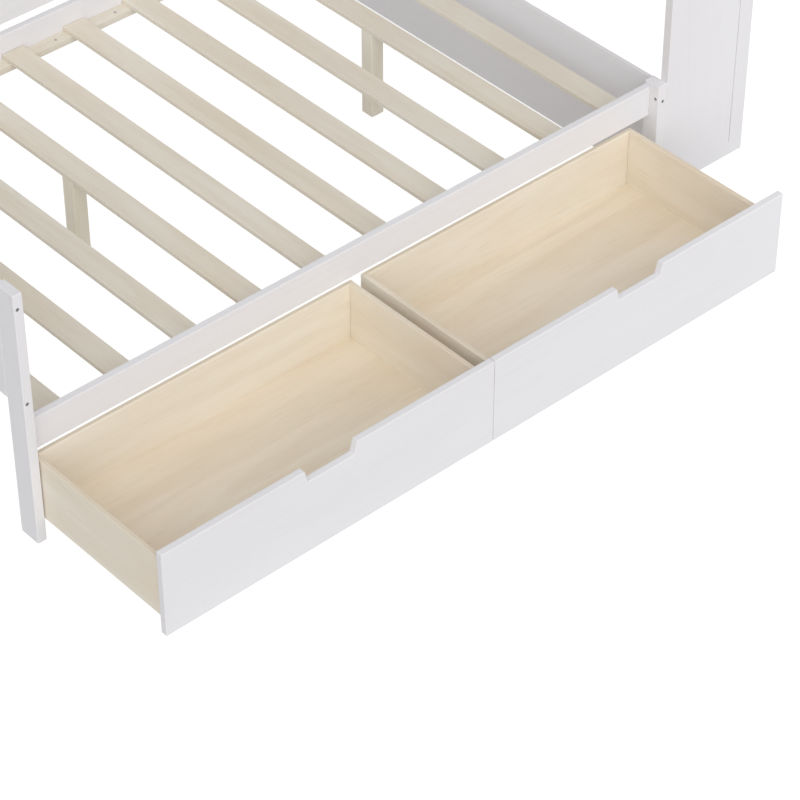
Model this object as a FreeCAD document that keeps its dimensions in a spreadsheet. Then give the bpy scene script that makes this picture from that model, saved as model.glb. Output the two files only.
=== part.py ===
import FreeCAD, Part
import os
import re
import Sketcher
from FreeCAD import Vector, Rotation

# Wooden single-ended bed, 1200 x 1900 mm sleeping surface: white painted frame,
# ten plain wood slats on ledgers, a foot panel between two posts, a guard board
# along the back, a bookcase headboard on two tall side boards, and two rolling
# drawers that are pulled out of the front side.
#
# Frame: +Z up, X from the foot to the head, Y from the drawer side to the back.
# The origin is on the floor, in the middle of the footprint with the drawers out.
# The sheet's positions are measured from the outside of the foot post (X), from
# the front rail's outer face (Y) and from the floor (Z).

doc = FreeCAD.newDocument("bed_frame")
sheet = doc.addObject("Spreadsheet::Sheet", "Sheet")
sheet.Label = "dimensions"

dims = [
    # overall
    ("origin_x", 1110.5), ("origin_y", 416.5),
    ("rail_span", 1251), ("edge_round", 2), ("slat_round", 1.2),
    # foot end
    ("foot_post_thick", 24), ("post_deep", 60), ("post_proud", 29), ("foot_post_high", 686),
    ("foot_panel_thick", 18), ("foot_panel_low", 381),
    # side rails and ledgers
    ("rail_long", 1876), ("rail_thick", 19), ("rail_high", 84.5), ("rail_top", 319),
    ("ledger_wide", 37), ("ledger_high", 19.5),
    # slats and centre legs
    ("slat_first", 94), ("slat_pitch", 189.1), ("slat_wide", 65), ("slat_thick", 12),
    ("slat_play", 1), ("leg_size", 40), ("leg_near", 695), ("leg_left", 662), ("leg_right", 1608),
    # head end
    ("head_post_thick", 29), ("head_post_deep", 48), ("head_post_high", 330),
    ("head_panel_thick", 9), ("head_panel_low", 14),
    ("tower_deep", 292), ("tower_thick", 24), ("tower_high", 1150),
    ("groove_back", 50), ("groove_wide", 3), ("groove_deep", 3), ("groove_end", 41),
    ("shelf_thick", 20), ("shelf_low", 600), ("shelf_mid", 865), ("case_back_thick", 12),
    # back guard board
    ("guard_thick", 18), ("guard_low", 346.5), ("guard_high", 240), ("guard_lap", 71),
    # drawers
    ("pull_out", 428.5), ("front_stand", 18.5), ("front_thick", 18), ("front_low", 10), ("front_high", 233),
    ("front_left_start", 25), ("front_left_long", 939.5),
    ("front_right_start", 966), ("front_right_long", 933),
    ("notch_left_mid", 486.5), ("notch_right_mid", 1420),
    ("notch_top_wide", 147), ("notch_low_wide", 131), ("notch_deep", 33),
    ("box_left_start", 27), ("box_left_long", 909),
    ("box_right_start", 966), ("box_right_long", 874),
    ("box_low", 57), ("box_high", 167), ("box_deep", 435), ("box_thick", 12), ("bottom_thick", 9),
    # casters
    ("wheel_radius", 22), ("wheel_wide", 18), ("wheel_round", 3), ("pin_radius", 3), ("pin_play", 0.05),
    ("caster_plate", 44), ("caster_sheet", 2), ("fork_gap", 20), ("fork_deep", 16),
    ("caster_side", 75), ("caster_end", 60),
    # fasteners
    ("bolt_head", 4.5), ("bolt_head_deep", 4), ("bolt_shank", 3), ("bolt_sunk", 0.3), ("bolt_long", 96),
    ("hex_corner", 2.6), ("hex_deep", 2.4),
    ("foot_bolt_in", 9), ("foot_bolt_low", 395), ("foot_bolt_top", 648),
    ("head_bolt_level", 291), ("cross_bolt_level", 283), ("head_bolt_long", 70), ("cross_bolt_long", 46),
    ("head_bolt_in", 10),
    ("dowel_radius", 4), ("dowel_long", 40), ("dowel_low", 255), ("dowel_top", 299),
    ("screw_head", 3.6), ("screw_shank", 1.8), ("screw_long", 14), ("screw_cone", 2.2),
    ("screw_back", 39), ("screw_in", 22),
]
for i, (alias, value) in enumerate(dims):
    sheet.set("A%d" % (i + 1), alias)
    sheet.set("B%d" % (i + 1), str(value))
    sheet.setAlias("B%d" % (i + 1), alias)
doc.recompute()

names = sorted((a for a, v in dims), key=len, reverse=True)
pattern = re.compile(r"\b(%s)\b" % "|".join(names))


def ex(text):
    """An expression over the sheet's aliases."""
    return pattern.sub(lambda m: "Sheet." + m.group(1), str(text))


def bind(obj, prop, text):
    obj.setExpression(prop, ex(text))


def place(obj, x, y, z, turn=None):
    """Row placement; x, y and z are measured from the foot post, front rail and floor."""
    if turn is not None:
        obj.Placement = FreeCAD.Placement(Vector(0, 0, 0), turn)
    bind(obj, "Placement.Base.x", "(%s) - origin_x" % x)
    bind(obj, "Placement.Base.y", "(%s) - origin_y" % y)
    bind(obj, "Placement.Base.z", z)
    return obj


def plane(body, role):
    return [f for f in body.Origin.OriginFeatures if f.Role == role][0]


def outline(body, name, role, points, sizes):
    """A closed sketch through points (x, y pairs given by expressions in sizes)."""
    sk = body.newObject("Sketcher::SketchObject", name)
    sk.AttachmentSupport = [(plane(body, role), "")]
    sk.MapMode = "FlatFace"
    n = len(points)
    for i in range(n):
        a, b = points[i], points[(i + 1) % n]
        sk.addGeometry(Part.LineSegment(Vector(a[0], a[1], 0), Vector(b[0], b[1], 0)), False)
    for i in range(n):
        sk.addConstraint(Sketcher.Constraint("Coincident", i, 2, (i + 1) % n, 1))
    for i, (px, py) in enumerate(sizes):
        for kind, text, start in (("DistanceX", px, points[i][0]), ("DistanceY", py, points[i][1])):
            if text == "0":
                # on an axis of the sketch
                axis = -2 if kind == "DistanceX" else -1
                sk.addConstraint(Sketcher.Constraint("PointOnObject", i, 1, axis))
            else:
                c = sk.addConstraint(Sketcher.Constraint(kind, -1, 1, i, 1, start))
                sk.renameConstraint(c, "%s%d" % (kind, i))
                bind(sk, "Constraints.%s%d" % (kind, i), text)
    return sk


def board(name, wide, deep, high, x, y, z, rounded="edge_round", turn=None):
    """A sawn board with all edges eased."""
    body = doc.addObject("PartDesign::Body", name)
    body.Label = name
    sk = outline(body, name + "_outline", "XY_Plane", [(0, 0), (100, 0), (100, 100), (0, 100)],
                 [("0", "0"), (wide, "0"), (wide, deep), ("0", deep)])
    pad = body.newObject("PartDesign::Pad", name + "_pad")
    pad.Profile = sk
    bind(pad, "Length", high)
    doc.recompute()
    if rounded:
        ease = body.newObject("PartDesign::Fillet", name + "_eased")
        ease.Base = (pad, ["Edge%d" % (i + 1) for i in range(len(pad.Shape.Edges))])
        bind(ease, "Radius", rounded)
        pad.Visibility = False
    place(body, x, y, z, turn)
    return body


nodes = []


def keep(obj):
    nodes.append(obj)
    return obj


def rod(name, radius, length, x, y, z, turn):
    c = doc.addObject("Part::Cylinder", name)
    bind(c, "Radius", radius)
    bind(c, "Height", length)
    place(c, x, y, z, turn)
    return c


def group(name, members):
    g = doc.addObject("Part::Compound", name)
    g.Label = name
    g.Links = members
    return g


def cut(name, base, tool):
    """The base object with the tool's space taken out, under the node's own label."""
    base.Label = name + "_blank"
    c = doc.addObject("Part::Cut", name + "_cut")
    c.Label = name
    c.Base = base
    c.Tool = tool
    return c


TO_X = Rotation(Vector(0, 1, 0), 90)
TO_Y = Rotation(Vector(1, 0, 0), -90)
FROM_Y = Rotation(Vector(1, 0, 0), 90)
DOWN = Rotation(Vector(1, 0, 0), 180)

# ---------------------------------------------------------------- fasteners


def bolt(name, x, y, z, turn, step, length):
    """Socket head bolt; x, y, z is the point where its axis meets the face and step
    is the way it goes in, as signs along X and Y."""
    sx, sy = step
    head = rod(name + "_head", "bolt_head", "bolt_head_deep", "%s + %d * bolt_sunk" % (x, sx),
               "%s + %d * bolt_sunk" % (y, sy), z, turn)
    shank = rod(name + "_shank", "bolt_shank", "%s - bolt_head_deep - bolt_sunk" % length,
                "%s + %d * (bolt_sunk + bolt_head_deep)" % (x, sx),
                "%s + %d * (bolt_sunk + bolt_head_deep)" % (y, sy), z, turn)
    solid = doc.addObject("Part::Fuse", name + "_solid")
    solid.Base, solid.Tool = head, shank
    hexagon = doc.addObject("Part::Prism", name + "_hex")
    hexagon.Polygon = 6
    bind(hexagon, "Circumradius", "hex_corner")
    bind(hexagon, "Height", "hex_deep + bolt_sunk")
    place(hexagon, x, y, z, turn)
    done = doc.addObject("Part::Cut", name)
    done.Base, done.Tool = solid, hexagon
    # the hole in the wood: head and shank, open to the face
    mouth = rod(name + "_mouth", "bolt_head", "bolt_head_deep + bolt_sunk", x, y, z, turn)
    hole = doc.addObject("Part::Fuse", name + "_hole")
    hole.Base, hole.Tool = mouth, shank
    return done, hole


foot_bolts = []
foot_holes = []
for tag, y, turn, sy in (("front", "-post_proud", TO_Y, 1), ("back", "rail_span + post_proud", FROM_Y, -1)):
    for level in ("low", "top"):
        b, h = bolt("foot_bolt_%s_%s" % (tag, level), "foot_bolt_in", y, "foot_bolt_%s" % level,
                    turn, (0, sy), "bolt_long")
        foot_bolts.append(b)
        foot_holes.append(h)
keep(group("foot_panel_bolts", foot_bolts))
foot_drill = group("foot_drilling", foot_holes)

head_bolts = []
head_holes = []
for tag, y, y_in, turn, sy in (("front", "-post_proud", "-post_proud + head_bolt_in", TO_Y, 1),
                               ("back", "rail_span + post_proud", "rail_span + post_proud - head_bolt_in",
                                FROM_Y, -1)):
    b, h = bolt("head_bolt_%s" % tag, "foot_post_thick + rail_long", y_in, "head_bolt_level",
                TO_X, (1, 0), "head_bolt_long")
    head_bolts.append(b)
    head_holes.append(h)
    b, h = bolt("cross_bolt_%s" % tag, "foot_post_thick + rail_long + head_post_thick / 2 + 1", y,
                "cross_bolt_level", turn, (0, sy), "cross_bolt_long")
    head_bolts.append(b)
    head_holes.append(h)
keep(group("head_post_bolts", head_bolts))
head_drill = group("head_drilling", head_holes)

dowels = []
for tag, y in (("front", "rail_thick / 2"), ("back", "rail_span - rail_thick / 2")):
    for end, x in (("foot", "foot_post_thick - dowel_long / 2"),
                   ("head", "foot_post_thick + rail_long - dowel_long / 2")):
        for level in ("low", "top"):
            dowels.append(rod("dowel_%s_%s_%s" % (tag, end, level), "dowel_radius", "dowel_long",
                              x, y, "dowel_%s" % level, TO_X))
keep(group("rail_dowels", dowels))

screws = []
for tag, y in (("front", "rail_thick + screw_in"), ("back", "rail_span - rail_thick - screw_in")):
    for i in range(10):
        x = "slat_first + %d * slat_pitch - screw_back" % i
        top = "rail_top - rail_high + ledger_high"
        cone = doc.addObject("Part::Cone", "screw_cone_%s_%d" % (tag, i + 1))
        bind(cone, "Radius1", "screw_head")
        bind(cone, "Radius2", "screw_shank")
        bind(cone, "Height", "screw_cone")
        place(cone, x, y, top, DOWN)
        stem = rod("screw_stem_%s_%d" % (tag, i + 1), "screw_shank", "screw_long - screw_cone",
                   x, y, "%s - screw_cone" % top, DOWN)
        s = doc.addObject("Part::Fuse", "screw_%s_%d" % (tag, i + 1))
        s.Base, s.Tool = cone, stem
        screws.append(s)
ledger_screws = keep(group("ledger_screws", screws))

# ---------------------------------------------------------------- foot end

front_tools = group("front_post_tools", [foot_drill, doc.getObject("rail_dowels")])
for tag, y in (("front", "-post_proud"), ("back", "rail_span + post_proud - post_deep")):
    b = board("foot_post_%s_blank" % tag, "foot_post_thick", "post_deep", "foot_post_high", "0", y, "0")
    keep(cut("foot_post_%s" % tag, b, front_tools))
b = board("foot_panel_blank", "foot_panel_thick", "rail_span + 2 * post_proud - 2 * post_deep",
          "foot_post_high - foot_panel_low", "0", "post_deep - post_proud", "foot_panel_low")
keep(cut("foot_panel", b, foot_drill))

# ---------------------------------------------------------------- rails, ledgers, slats, legs

for tag, y, y_ledger in (("front", "0", "rail_thick"),
                         ("back", "rail_span - rail_thick", "rail_span - rail_thick - ledger_wide")):
    b = board("side_rail_%s_blank" % tag, "rail_long", "rail_thick", "rail_high",
              "foot_post_thick", y, "rail_top - rail_high")
    keep(cut("side_rail_%s" % tag, b, doc.getObject("rail_dowels")))
    b = board("slat_ledger_%s_blank" % tag, "rail_long", "ledger_wide", "ledger_high",
              "foot_post_thick", y_ledger, "rail_top - rail_high")
    keep(cut("slat_ledger_%s" % tag, b, ledger_screws))

for i in range(10):
    keep(board("slat_%02d" % (i + 1), "slat_wide", "rail_span - 2 * rail_thick - 2 * slat_play", "slat_thick",
               "slat_first + %d * slat_pitch" % i, "rail_thick + slat_play",
               "rail_top - rail_high + ledger_high", rounded="slat_round"))

for tag in ("left", "right"):
    keep(board("centre_leg_%s" % tag, "leg_size", "leg_size", "rail_top - rail_high + ledger_high",
               "leg_%s" % tag, "leg_near", "0"))

# ---------------------------------------------------------------- head end

head_x = "foot_post_thick + rail_long"
tower_x = head_x + " + head_post_thick"
post_tools = group("head_post_tools", [head_drill, doc.getObject("rail_dowels")])
for tag, y in (("front", "-post_proud"), ("back", "rail_span + post_proud - head_post_deep")):
    b = board("head_post_%s_blank" % tag, "head_post_thick", "head_post_deep", "head_post_high",
              head_x, y, "0")
    keep(cut("head_post_%s" % tag, b, post_tools))

inner_low = "tower_thick - post_proud"
inner_span = "rail_span + 2 * post_proud - 2 * tower_thick"
keep(board("head_panel", "head_panel_thick", inner_span, "rail_top - head_panel_low",
           tower_x, inner_low, "head_panel_low"))


def tower_side(name, y, outer_at_front):
    """Tall side board with a stopped groove near its back edge on the outer face."""
    body = doc.addObject("PartDesign::Body", name + "_blank")
    sk = outline(body, name + "_outline", "XZ_Plane", [(0, 0), (100, 0), (100, 900), (0, 900)],
                 [("0", "0"), ("tower_deep", "0"), ("tower_deep", "tower_high"), ("0", "tower_high")])
    pad = body.newObject("PartDesign::Pad", name + "_pad")
    pad.Profile = sk
    pad.Reversed = outer_at_front
    bind(pad, "Length", "tower_thick")
    doc.recompute()
    ease = body.newObject("PartDesign::Fillet", name + "_eased")
    ease.Base = (pad, ["Edge%d" % (i + 1) for i in range(len(pad.Shape.Edges))])
    bind(ease, "Radius", "edge_round")
    doc.recompute()
    before = body.Shape.Volume
    gx = "tower_deep - groove_back"
    slot = outline(body, name + "_slot", "XZ_Plane", [(50, 50), (60, 50), (60, 800), (50, 800)],
                   [(gx, "groove_end"), (gx + " + groove_wide", "groove_end"),
                    (gx + " + groove_wide", "tower_high - groove_end"), (gx, "tower_high - groove_end")])
    groove = body.newObject("PartDesign::Pocket", name + "_groove")
    groove.Profile = slot
    groove.Reversed = not outer_at_front
    bind(groove, "Length", "groove_deep")
    doc.recompute()
    if not body.Shape.Volume < before - 1000:
        raise RuntimeError(name + ": the groove cuts nothing")
    place(body, tower_x, y, "0")
    return cut(name, body, head_drill)


keep(tower_side("headboard_side_front", "-post_proud", True))
keep(tower_side("headboard_side_back", "rail_span + post_proud", False))

shelf_deep = "tower_deep - case_back_thick"
for tag, z in (("low", "shelf_low"), ("mid", "shelf_mid"), ("top", "tower_high - shelf_thick")):
    keep(board("headboard_shelf_%s" % tag, shelf_deep, inner_span, "shelf_thick", tower_x, inner_low, z))
keep(board("headboard_back", "case_back_thick", inner_span, "tower_high - shelf_low",
           tower_x + " + tower_deep - case_back_thick", inner_low, "shelf_low"))
for tag, z, top in (("low", "shelf_low + shelf_thick", "shelf_mid"),
                    ("top", "shelf_mid + shelf_thick", "tower_high - shelf_thick")):
    keep(board("headboard_divider_%s" % tag, shelf_deep, "shelf_thick", "%s - (%s)" % (top, z), tower_x,
               "rail_span / 2 - shelf_thick / 2", z))

# guard board above the back rail, lapped on the inside of the back side board, under its lowest shelf
keep(board("back_guard", "rail_long + head_post_thick + guard_lap", "guard_thick", "guard_high",
           "foot_post_thick", "rail_span + post_proud - tower_thick - guard_thick", "guard_low"))

# ---------------------------------------------------------------- drawers

front_y = "-pull_out - front_stand"
box_y = front_y + " + front_thick"


def drawer_front(name, start, long, middle):
    """Front board with a slanted hand notch in its top edge."""
    body = doc.addObject("PartDesign::Body", name)
    body.Label = name
    mid = "%s - %s" % (middle, start)
    top = "front_high"
    low = "front_high - notch_deep"
    sk = outline(body, name + "_outline", "XZ_Plane",
                 [(0, 0), (900, 0), (900, 200), (500, 200), (490, 170), (400, 170), (390, 200), (0, 200)],
                 [("0", "0"), (long, "0"), (long, top), (mid + " + notch_top_wide / 2", top),
                  (mid + " + notch_low_wide / 2", low), (mid + " - notch_low_wide / 2", low),
                  (mid + " - notch_top_wide / 2", top), ("0", top)])
    pad = body.newObject("PartDesign::Pad", name + "_pad")
    pad.Profile = sk
    pad.Reversed = True
    bind(pad, "Length", "front_thick")
    doc.recompute()
    ease = body.newObject("PartDesign::Fillet", name + "_eased")
    ease.Base = (pad, ["Edge%d" % (i + 1) for i in range(len(pad.Shape.Edges))])
    bind(ease, "Radius", "edge_round")
    place(body, start, front_y, "front_low")
    return body


def caster(name, x, y):
    """Fixed plate caster: plate, two fork cheeks and the wheel pin."""
    def block(tag, wide, deep, high, bx, by, bz):
        b = doc.addObject("Part::Box", name + tag)
        bind(b, "Length", wide)
        bind(b, "Width", deep)
        bind(b, "Height", high)
        return place(b, bx, by, bz)
    high = "box_low - caster_sheet - wheel_radius + 7"
    parts = [
        block("_plate", "caster_plate", "caster_plate", "caster_sheet",
              "%s - caster_plate / 2" % x, "%s - caster_plate / 2" % y, "box_low - caster_sheet"),
        block("_cheek_left", "caster_sheet", "fork_deep", high,
              "%s - fork_gap / 2 - caster_sheet" % x, "%s - fork_deep / 2" % y, "wheel_radius - 7"),
        block("_cheek_right", "caster_sheet", "fork_deep", high,
              "%s + fork_gap / 2" % x, "%s - fork_deep / 2" % y, "wheel_radius - 7"),
        rod(name + "_pin", "pin_radius", "fork_gap + 2 * caster_sheet + 2",
            "%s - fork_gap / 2 - caster_sheet - 1" % x, y, "wheel_radius", TO_X),
    ]
    f = doc.addObject("Part::MultiFuse", name)
    f.Shapes = parts
    return f


def wheel(name, x, y):
    body = doc.addObject("PartDesign::Body", name)
    body.Label = name
    sk = body.newObject("Sketcher::SketchObject", name + "_outline")
    sk.AttachmentSupport = [(plane(body, "XY_Plane"), "")]
    sk.MapMode = "FlatFace"
    for i, (r, text) in enumerate(((22, "wheel_radius"), (3, "pin_radius + pin_play"))):
        sk.addGeometry(Part.Circle(Vector(0, 0, 0), Vector(0, 0, 1), r), False)
        sk.addConstraint(Sketcher.Constraint("Coincident", i, 3, -1, 1))
        c = sk.addConstraint(Sketcher.Constraint("Radius", i, r))
        sk.renameConstraint(c, "round%d" % i)
        bind(sk, "Constraints.round%d" % i, text)
    pad = body.newObject("PartDesign::Pad", name + "_pad")
    pad.Profile = sk
    bind(pad, "Length", "wheel_wide")
    doc.recompute()
    rims = ["Edge%d" % (i + 1) for i, e in enumerate(pad.Shape.Edges)
            if hasattr(e.Curve, "Radius") and e.Curve.Radius > 15]
    ease = body.newObject("PartDesign::Fillet", name + "_eased")
    ease.Base = (pad, rims)
    bind(ease, "Radius", "wheel_round")
    place(body, "%s - wheel_wide / 2" % x, y, "wheel_radius", TO_X)
    return body


for side in ("left", "right"):
    start = "box_%s_start" % side
    long = "box_%s_long" % side
    keep(drawer_front("drawer_%s_front" % side, "front_%s_start" % side, "front_%s_long" % side,
                      "notch_%s_mid" % side))
    keep(board("drawer_%s_side_left" % side, "box_thick", "box_deep", "box_high", start, box_y, "box_low"))
    keep(board("drawer_%s_side_right" % side, "box_thick", "box_deep", "box_high",
               "%s + %s - box_thick" % (start, long), box_y, "box_low"))
    keep(board("drawer_%s_back" % side, "%s - 2 * box_thick" % long, "box_thick", "box_high",
               "%s + box_thick" % start, box_y + " + box_deep - box_thick", "box_low"))
    keep(board("drawer_%s_bottom" % side, "%s - 2 * box_thick" % long, "box_deep - box_thick", "bottom_thick",
               "%s + box_thick" % start, box_y, "box_low", rounded=None))
    frames = []
    for ix, x in (("l", "%s + caster_side" % start), ("r", "%s + %s - caster_side" % (start, long))):
        for iy, y in (("f", box_y + " + caster_end"), ("b", box_y + " + box_deep - caster_end")):
            frames.append(caster("caster_%s_%s%s" % (side, iy, ix), x, y))
            keep(wheel("wheel_%s_%s%s" % (side, {"f": "front_", "b": "back_"}[iy],
                                          {"l": "left", "r": "right"}[ix]), x, y))
    keep(group("drawer_%s_casters" % side, frames))

# ---------------------------------------------------------------- checks and files

doc.recompute()
for obj in doc.Objects:
    if "Invalid" in obj.State or "Error" in obj.State:
        raise RuntimeError("%s: %s" % (obj.Label, obj.State))
os.makedirs("parts", exist_ok=True)
whole = FreeCAD.BoundBox()
for obj in nodes:
    shape = obj.Shape
    if shape.isNull() or not shape.isValid() or not shape.Solids:
        raise RuntimeError(obj.Label + ": bad shape")
    whole.add(shape.BoundBox)
for obj in nodes:
    obj.Shape.exportStep("parts/%s.step" % obj.Label)
print(len(nodes), "nodes;", "box", [round(v, 2) for v in (whole.XMin, whole.XMax, whole.YMin, whole.YMax,
                                                          whole.ZMin, whole.ZMax)])
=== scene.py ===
import math

import bpy
from mathutils import Matrix, Vector

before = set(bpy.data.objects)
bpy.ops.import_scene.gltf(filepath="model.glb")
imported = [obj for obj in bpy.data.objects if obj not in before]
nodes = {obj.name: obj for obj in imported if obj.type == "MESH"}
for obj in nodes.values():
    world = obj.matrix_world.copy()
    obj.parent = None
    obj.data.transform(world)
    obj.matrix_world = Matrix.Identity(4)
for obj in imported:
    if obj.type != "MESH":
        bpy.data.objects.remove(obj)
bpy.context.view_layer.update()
scene = bpy.context.scene
X, Y, Z = 0, 1, 2

# ------------------------------------------------------------------ camera
# Long lens from the front, foot end, looking down onto the drawers. The azimuth is counted from straight
# ahead of the drawers, and the elevation from level. The lens and the sensor are in millimetres, and every
# other length is in metres.
AZIMUTH, ELEVATION = math.radians(-41.82), math.radians(40.29)
CAMERA_AT = (-3.7664, -4.5949, 4.5349)
SENSOR, LENS, FAR_LIMIT = 36, 137.3, 100

cam_data = bpy.data.cameras.new("camera")
cam_data.sensor_width = SENSOR
cam_data.lens = LENS
cam_data.clip_end = FAR_LIMIT
cam = bpy.data.objects.new("camera", cam_data)
scene.collection.objects.link(cam)
back = Vector((math.sin(AZIMUTH) * math.cos(ELEVATION),
               -math.cos(AZIMUTH) * math.cos(ELEVATION),
               math.sin(ELEVATION)))
right = Vector((math.cos(AZIMUTH), math.sin(AZIMUTH), 0))
up = back.cross(right)
turn = Matrix((right, up, back)).transposed().to_4x4()
cam.matrix_world = Matrix.Translation(CAMERA_AT) @ turn
scene.camera = cam
scene.view_settings.view_transform = "Standard"


# ------------------------------------------------------------------ materials
# A Mix node's sockets when it mixes colours, and how squarely a face has to look along an axis to count.
MIX_A, MIX_B, MIX_OUT = 6, 7, 2
SQUARE_ON = 0.8


class Graph:
    """A few short calls for building a material's nodes."""

    def __init__(self, name):
        self.mat = bpy.data.materials.new(name)
        self.mat.use_nodes = True
        self.nt = self.mat.node_tree
        self.bsdf = self.nt.nodes["Principled BSDF"]

    def node(self, kind, **inputs):
        n = self.nt.nodes.new(kind)
        for key, value in inputs.items():
            self.put(n.inputs[key.replace("_", " ")], value)
        return n

    def put(self, socket, value):
        """Link a socket to this one, or set a plain value on it."""
        if isinstance(value, bpy.types.NodeSocket):
            self.nt.links.new(value, socket)
        else:
            socket.default_value = value

    def coords(self, scale=(1, 1, 1), offset=(0, 0, 0)):
        """The piece's own coordinates in metres, scaled and moved."""
        c = self.nt.nodes.new("ShaderNodeTexCoord")
        m = self.nt.nodes.new("ShaderNodeMapping")
        self.nt.links.new(c.outputs["Object"], m.inputs["Vector"])
        m.inputs["Scale"].default_value = scale
        m.inputs["Location"].default_value = offset
        return m.outputs["Vector"]

    def noise(self, vector, scale, detail=4.0, rough=0.5, distortion=0.0):
        n = self.node("ShaderNodeTexNoise", Vector=vector, Scale=scale, Detail=detail,
                      Roughness=rough, Distortion=distortion)
        return n.outputs["Fac"]

    def math(self, operation, a, b=0.0):
        n = self.nt.nodes.new("ShaderNodeMath")
        n.operation = operation
        self.put(n.inputs[0], a)
        self.put(n.inputs[1], b)
        return n.outputs[0]

    def weigh(self, *parts):
        """The sum of values, each times its weight: (value, weight), ..."""
        terms = [self.math("MULTIPLY", value, weight) for value, weight in parts]
        total = terms[0]
        for term in terms[1:]:
            total = self.math("ADD", total, term)
        return total

    def ramp(self, fac, low, high, *more):
        """A colour ramp between (position, colour) stops."""
        n = self.nt.nodes.new("ShaderNodeValToRGB")
        self.put(n.inputs["Fac"], fac)
        elements = n.color_ramp.elements
        stops = (low, high, *more)
        for _ in more:
            elements.new(1.0)
        for element, (position, color) in zip(elements, stops):
            element.position = position
            element.color = (*color, 1)
        return n.outputs["Color"]

    def mix(self, fac, a, b, blend="MIX"):
        n = self.nt.nodes.new("ShaderNodeMix")
        n.data_type = "RGBA"
        n.blend_type = blend
        self.put(n.inputs[0], fac)
        for socket, value in ((n.inputs[MIX_A], a), (n.inputs[MIX_B], b)):
            self.put(socket, (*value, 1) if isinstance(value, tuple) else value)
        return n.outputs[MIX_OUT]

    def rough(self, fac, share, base):
        """Roughness that wanders with fac above a base value."""
        self.put(self.bsdf.inputs["Roughness"], self.math("ADD", self.math("MULTIPLY", fac, share), base))

    def bump(self, height, strength, distance):
        n = self.node("ShaderNodeBump", Height=height, Strength=strength, Distance=distance)
        self.put(self.bsdf.inputs["Normal"], n.outputs["Normal"])


def along(axis, length, across):
    """Mapping scale that stretches a texture along one axis."""
    s = [across, across, across]
    s[axis] = length
    return tuple(s)


def faces_along(g, axis):
    """1 on the faces that look along one axis, 0 on the others."""
    c = g.nt.nodes.new("ShaderNodeTexCoord")
    parts = g.nt.nodes.new("ShaderNodeSeparateXYZ")
    g.nt.links.new(c.outputs["Normal"], parts.inputs[0])
    return g.math("GREATER_THAN", g.math("ABSOLUTE", parts.outputs[axis]), SQUARE_ON)


def dim(color, share):
    return tuple(v * share for v in color)


NO_TINT = (1, 1, 1)
PAINT_LOW, PAINT_HIGH = (0.870, 0.857, 0.884), (0.894, 0.883, 0.905)
PAINT_GRAIN = (0.980, 0.979, 0.977)
BLUSH = (1.0, 0.965, 0.945)
PORE = (0.86, 0.82, 0.76)
# Radians that the sine of the growth bands runs through from the lowest to the highest noise.
BAND_SWING = 26.0


def white_paint(name, axis, seed):
    """Satin white paint on sanded board: fine orange peel, a hint of the grain, and a tone that drifts."""
    g = Graph(name)
    fibre = g.noise(g.coords(along(axis, 1.1, 34), (seed, seed * 2, 0)),
                    3.0, detail=6, rough=0.62, distortion=0.25)
    broad = g.noise(g.coords(along(axis, 0.9, 3.5), (0, seed, seed)),
                    1.6, detail=3, rough=0.5, distortion=0.6)
    peel = g.noise(g.coords(offset=(seed, 0, 0)), 520, detail=2, rough=0.6)
    tone = g.ramp(broad, (0.3, PAINT_LOW), (0.7, PAINT_HIGH))
    fine = g.ramp(fibre, (0.30, PAINT_GRAIN), (0.50, NO_TINT))
    g.put(g.bsdf.inputs["Base Color"], g.mix(1.0, tone, fine, "MULTIPLY"))
    g.rough(peel, share=0.14, base=0.34)
    g.bump(g.weigh((fibre, 0.55), (peel, 0.45)), strength=0.16, distance=0.0006)
    g.bsdf.inputs["Specular IOR Level"].default_value = 0.4
    return g.mat


def growth_bands(g, axis, seed):
    """Light and dark bands that wander along the board."""
    base = g.coords(along(axis, 0.55, 6.5), (seed * 1.7, seed * 0.9, seed * 0.4))
    wander = g.noise(base, 1.3, detail=3, rough=0.5, distortion=0.4)
    wave = g.math("SINE", g.math("MULTIPLY", wander, BAND_SWING))
    return g.math("ADD", g.math("MULTIPLY", wave, 0.5), 0.5)


def end_grain(g, axis, seed, mid, dark):
    """Growth rings round a pith that lies beside the board, with specks, a little darker than the sides."""
    pith = [0.0, 0.0, 0.0]
    pith[(axis + 1) % 3] = 0.35 + 0.1 * math.sin(seed)
    pith[(axis + 2) % 3] = 0.02 * seed
    rings = g.node("ShaderNodeTexWave", Vector=g.coords(offset=tuple(pith)), Scale=60.0,
                   Distortion=1.2, Detail=2.0)
    rings.wave_type = "RINGS"
    rings.rings_direction = "XYZ"[axis]
    speck = g.noise(g.coords(offset=(seed, 0, 0)), 900, detail=2, rough=0.6)
    return g.ramp(g.weigh((rings.outputs["Fac"], 0.6), (speck, 0.4)),
                  (0.2, dim(mid, 0.97)), (0.8, dim(dark, 0.86)))


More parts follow.
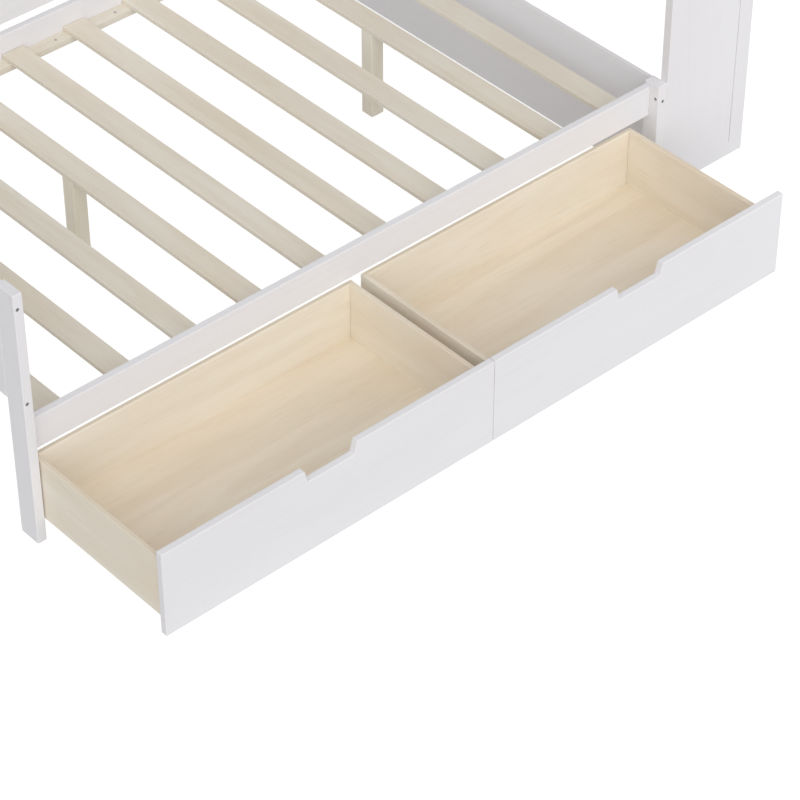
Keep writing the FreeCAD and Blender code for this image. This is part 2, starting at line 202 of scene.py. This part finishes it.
def plain_wood(name, axis, seed, light, dark, top_painted_shade=NO_TINT):
    """Sanded softwood: growth bands, fine fibres and pores, and rings on the sawn ends."""
    g = Graph(name)
    bands = growth_bands(g, axis, seed)
    fibre = g.noise(g.coords(along(axis, 3.0, 170), (seed, 0, seed)),
                    2.2, detail=5, rough=0.65, distortion=0.1)
    cloud = g.noise(g.coords(along(axis, 1.6, 5.0), (0, seed * 3, seed)),
                    1.4, detail=3, rough=0.55, distortion=0.8)
    pores = g.noise(g.coords(along(axis, 6.0, 420), (seed, seed, 0)), 2.0, detail=2, rough=0.5)
    mid = tuple((a + b) / 2 for a, b in zip(light, dark))
    grain = g.weigh((bands, 0.38), (fibre, 0.45), (cloud, 0.37))
    color = g.ramp(grain, (0.25, light), (0.6, mid), (0.95, dark))
    color = g.mix(1.0, color, g.ramp(cloud, (0.45, NO_TINT), (0.75, BLUSH)), "MULTIPLY")
    color = g.mix(1.0, color, g.ramp(pores, (0.28, PORE), (0.36, NO_TINT)), "MULTIPLY")
    color = g.mix(faces_along(g, axis), color, end_grain(g, axis, seed, mid, dark))
    # Painted shade: the faces that look up or down are multiplied by a darker tint, so that the drawer
    # walls' top edges look shadowed.
    if top_painted_shade != NO_TINT:
        color = g.mix(faces_along(g, Z), color, g.mix(1.0, color, top_painted_shade, "MULTIPLY"))
    g.put(g.bsdf.inputs["Base Color"], color)
    g.rough(fibre, share=0.2, base=0.46)
    g.bump(g.weigh((fibre, 0.7), (bands, 0.3)), strength=0.3, distance=0.0006)
    g.bsdf.inputs["Specular IOR Level"].default_value = 0.35
    return g.mat


def metal(name, color, rough):
    """Plated steel with a mottled tone and fine drawn scratches."""
    g = Graph(name)
    mottle = g.noise(g.coords(), 260, detail=4, rough=0.6)
    scratches = g.noise(g.coords(along(X, 1400, 120)), 1.0, detail=3, rough=0.5)
    g.put(g.bsdf.inputs["Base Color"], g.ramp(mottle, (0.3, dim(color, 0.75)), (0.7, color)))
    g.rough(scratches, share=0.2, base=rough)
    g.bsdf.inputs["Metallic"].default_value = 0.9
    g.bump(scratches, strength=0.15, distance=0.0002)
    return g.mat


def plastic(name, color):
    """Moulded plastic with a fine matt texture."""
    g = Graph(name)
    fine = g.noise(g.coords(), 900, detail=3, rough=0.6)
    broad = g.noise(g.coords(), 30, detail=2, rough=0.5)
    g.put(g.bsdf.inputs["Base Color"], g.ramp(broad, (0.3, dim(color, 0.8)), (0.7, color)))
    g.rough(fine, share=0.15, base=0.42)
    g.bump(fine, strength=0.2, distance=0.0003)
    return g.mat


# ------------------------------------------------------------------ what each piece is made of
# Light and dark tones of the plain wood. The drawer walls' top edges, and their bottom edges too, are
# multiplied by a darker edge tone: painted shade, as of the shadow just under the side rail.
SLAT_LIGHT, SLAT_DARK = (0.865, 0.82, 0.72), (0.79, 0.72, 0.595)
LEG_LIGHT, LEG_DARK = (0.93, 0.885, 0.765), (0.865, 0.80, 0.665)
BOX_LIGHT, BOX_DARK = (0.935, 0.875, 0.765), (0.865, 0.785, 0.65)
# Painted shade for the drawer walls' top edges.
BOX_EDGE_PAINTED_SHADE = (0.91, 0.88, 0.83)
BOTTOM_LIGHT, BOTTOM_DARK = (0.90, 0.815, 0.68), (0.815, 0.715, 0.565)

# The axis that the grain runs along in each board.
white_axis = {
    "foot_post_front": Z, "foot_post_back": Z, "foot_panel": Y,
    "side_rail_front": X, "side_rail_back": X, "back_guard": X,
    "head_post_front": Z, "head_post_back": Z, "head_panel": Y,
    "headboard_side_front": Z, "headboard_side_back": Z, "headboard_back": Y,
    "headboard_shelf_low": Y, "headboard_shelf_mid": Y, "headboard_shelf_top": Y,
    "headboard_divider_low": Z, "headboard_divider_top": Z,
    "drawer_left_front": X, "drawer_right_front": X,
}
wood_axis = {"slat_ledger_front": X, "slat_ledger_back": X, "centre_leg_left": Z, "centre_leg_right": Z}
wood_axis.update({"slat_%02d" % number: Y for number in range(1, 11)})
box_axis = {"drawer_%s_%s" % (side, board): axis
            for side in ("left", "right")
            for board, axis in (("side_left", Y), ("side_right", Y), ("back", X), ("bottom", X))}


def wood_tones(name):
    if name.startswith("centre_leg"):
        return LEG_LIGHT, LEG_DARK
    return SLAT_LIGHT, SLAT_DARK


def box_tones(name):
    if name.endswith("_bottom"):
        return BOTTOM_LIGHT, BOTTOM_DARK
    # The third tone paints shade on the walls' top edges.
    return BOX_LIGHT, BOX_DARK, BOX_EDGE_PAINTED_SHADE


def dress(name, material):
    mesh = nodes[name].data
    mesh.materials.clear()
    mesh.materials.append(material)


# Each board gets its own seed, so that no two boards show the same grain.
WHITE_STEP, WOOD_STEP, BOX_STEP = 1.37, 2.11, 1.93
seed = 1.0
for name, axis in sorted(white_axis.items()):
    dress(name, white_paint("white_" + name, axis, seed))
    seed += WHITE_STEP
for name, axis in sorted(wood_axis.items()):
    dress(name, plain_wood("wood_" + name, axis, seed, *wood_tones(name)))
    seed += WOOD_STEP
for name, axis in sorted(box_axis.items()):
    dress(name, plain_wood("box_" + name, axis, seed, *box_tones(name)))
    seed += BOX_STEP
dress("rail_dowels", plain_wood("wood_dowels", X, seed, SLAT_LIGHT, SLAT_DARK))

dark_steel = metal("dark_steel", (0.50, 0.50, 0.51), 0.5)
zinc = metal("zinc_steel", (0.55, 0.55, 0.56), 0.3)
wheel_plastic = plastic("caster_plastic", (0.035, 0.035, 0.037))
for name in ("foot_panel_bolts", "head_post_bolts", "ledger_screws"):
    dress(name, dark_steel)
for name in nodes:
    if name.endswith("_casters"):
        dress(name, zinc)
    elif name.startswith("wheel_"):
        dress(name, wheel_plastic)

# ------------------------------------------------------------------ floor and light
# A seamless white studio. The floor and the backdrop look white where they are seen directly, and give back
# less light than white would, so that the object's shaded sides stay grey. BACKDROP_SEEN and FLOOR_SEEN are
# the strengths that are looked at, and SKY and FLOOR_GLOW those that light the object.
FLOOR_HALF = 30
FLOOR_LOW, FLOOR_HIGH = (0.28, 0.28, 0.28), (0.30, 0.30, 0.30)
FLOOR_SEEN, FLOOR_GLOW = 0.90, 0.32
BACKDROP_SEEN, SKY = 1.1, 0.50


def seen_or_giving(nt, seen, giving):
    """One strength for what is looked at directly, and another for the light that reaches the object."""
    path = nt.nodes.new("ShaderNodeLightPath")
    m = nt.nodes.new("ShaderNodeMath")
    m.operation = "MULTIPLY_ADD"
    nt.links.new(path.outputs["Is Camera Ray"], m.inputs[0])
    m.inputs[1].default_value = seen - giving
    m.inputs[2].default_value = giving
    return m.outputs[0]


floor_mesh = bpy.data.meshes.new("floor")
corners = [(x * FLOOR_HALF, y * FLOOR_HALF, 0) for x, y in ((-1, -1), (1, -1), (1, 1), (-1, 1))]
floor_mesh.from_pydata(corners, [], [(0, 1, 2, 3)])
floor = bpy.data.objects.new("floor", floor_mesh)
scene.collection.objects.link(floor)
paper = Graph("floor_white")
speck = paper.noise(paper.coords(), 3.0, detail=3, rough=0.5)
paper.put(paper.bsdf.inputs["Base Color"], paper.ramp(speck, (0.3, FLOOR_LOW), (0.7, FLOOR_HIGH)))
paper.bsdf.inputs["Roughness"].default_value = 0.9
paper.bsdf.inputs["Specular IOR Level"].default_value = 0.1
paper.bsdf.inputs["Emission Color"].default_value = (1, 1, 1, 1)
paper.put(paper.bsdf.inputs["Emission Strength"], seen_or_giving(paper.nt, FLOOR_SEEN, FLOOR_GLOW))
floor_mesh.materials.append(paper.mat)

world = bpy.data.worlds.new("world")
scene.world = world
world.use_nodes = True
backdrop = world.node_tree.nodes["Background"]
backdrop.inputs["Color"].default_value = (1, 1, 1, 1)
world.node_tree.links.new(seen_or_giving(world.node_tree, BACKDROP_SEEN, SKY), backdrop.inputs["Strength"])


def add_light(name, kind, source):
    """A new light whose rays come from the direction source."""
    lamp = bpy.data.objects.new(name, bpy.data.lights.new(name, kind))
    scene.collection.objects.link(lamp)
    lamp.rotation_euler = source.to_track_quat("Z", "Y").to_euler()
    return lamp


# One large soft light from the camera's side. KEY is the brightness of a white sheet that faces it.
KEY, KEY_SPREAD = 0.48, math.radians(75)
KEY_FROM = Vector((-0.19, -0.34, 0.28))
key = add_light("key", "SUN", KEY_FROM)
key.data.energy = math.pi * KEY
key.data.angle = KEY_SPREAD

# A weak round light near the head end, which lifts the tall side board a little.
FILL, FILL_WIDE = 0.07, 1.6
FILL_AT, FILL_TO = Vector((1.7, -2.3, 1.3)), Vector((0.95, -0.45, 0.4))
fill = add_light("fill", "AREA", FILL_AT - FILL_TO)
fill.location = FILL_AT
fill.data.shape = "DISK"
fill.data.size = FILL_WIDE
fill.data.energy = FILL * math.pi ** 2 * (FILL_AT - FILL_TO).length_squared
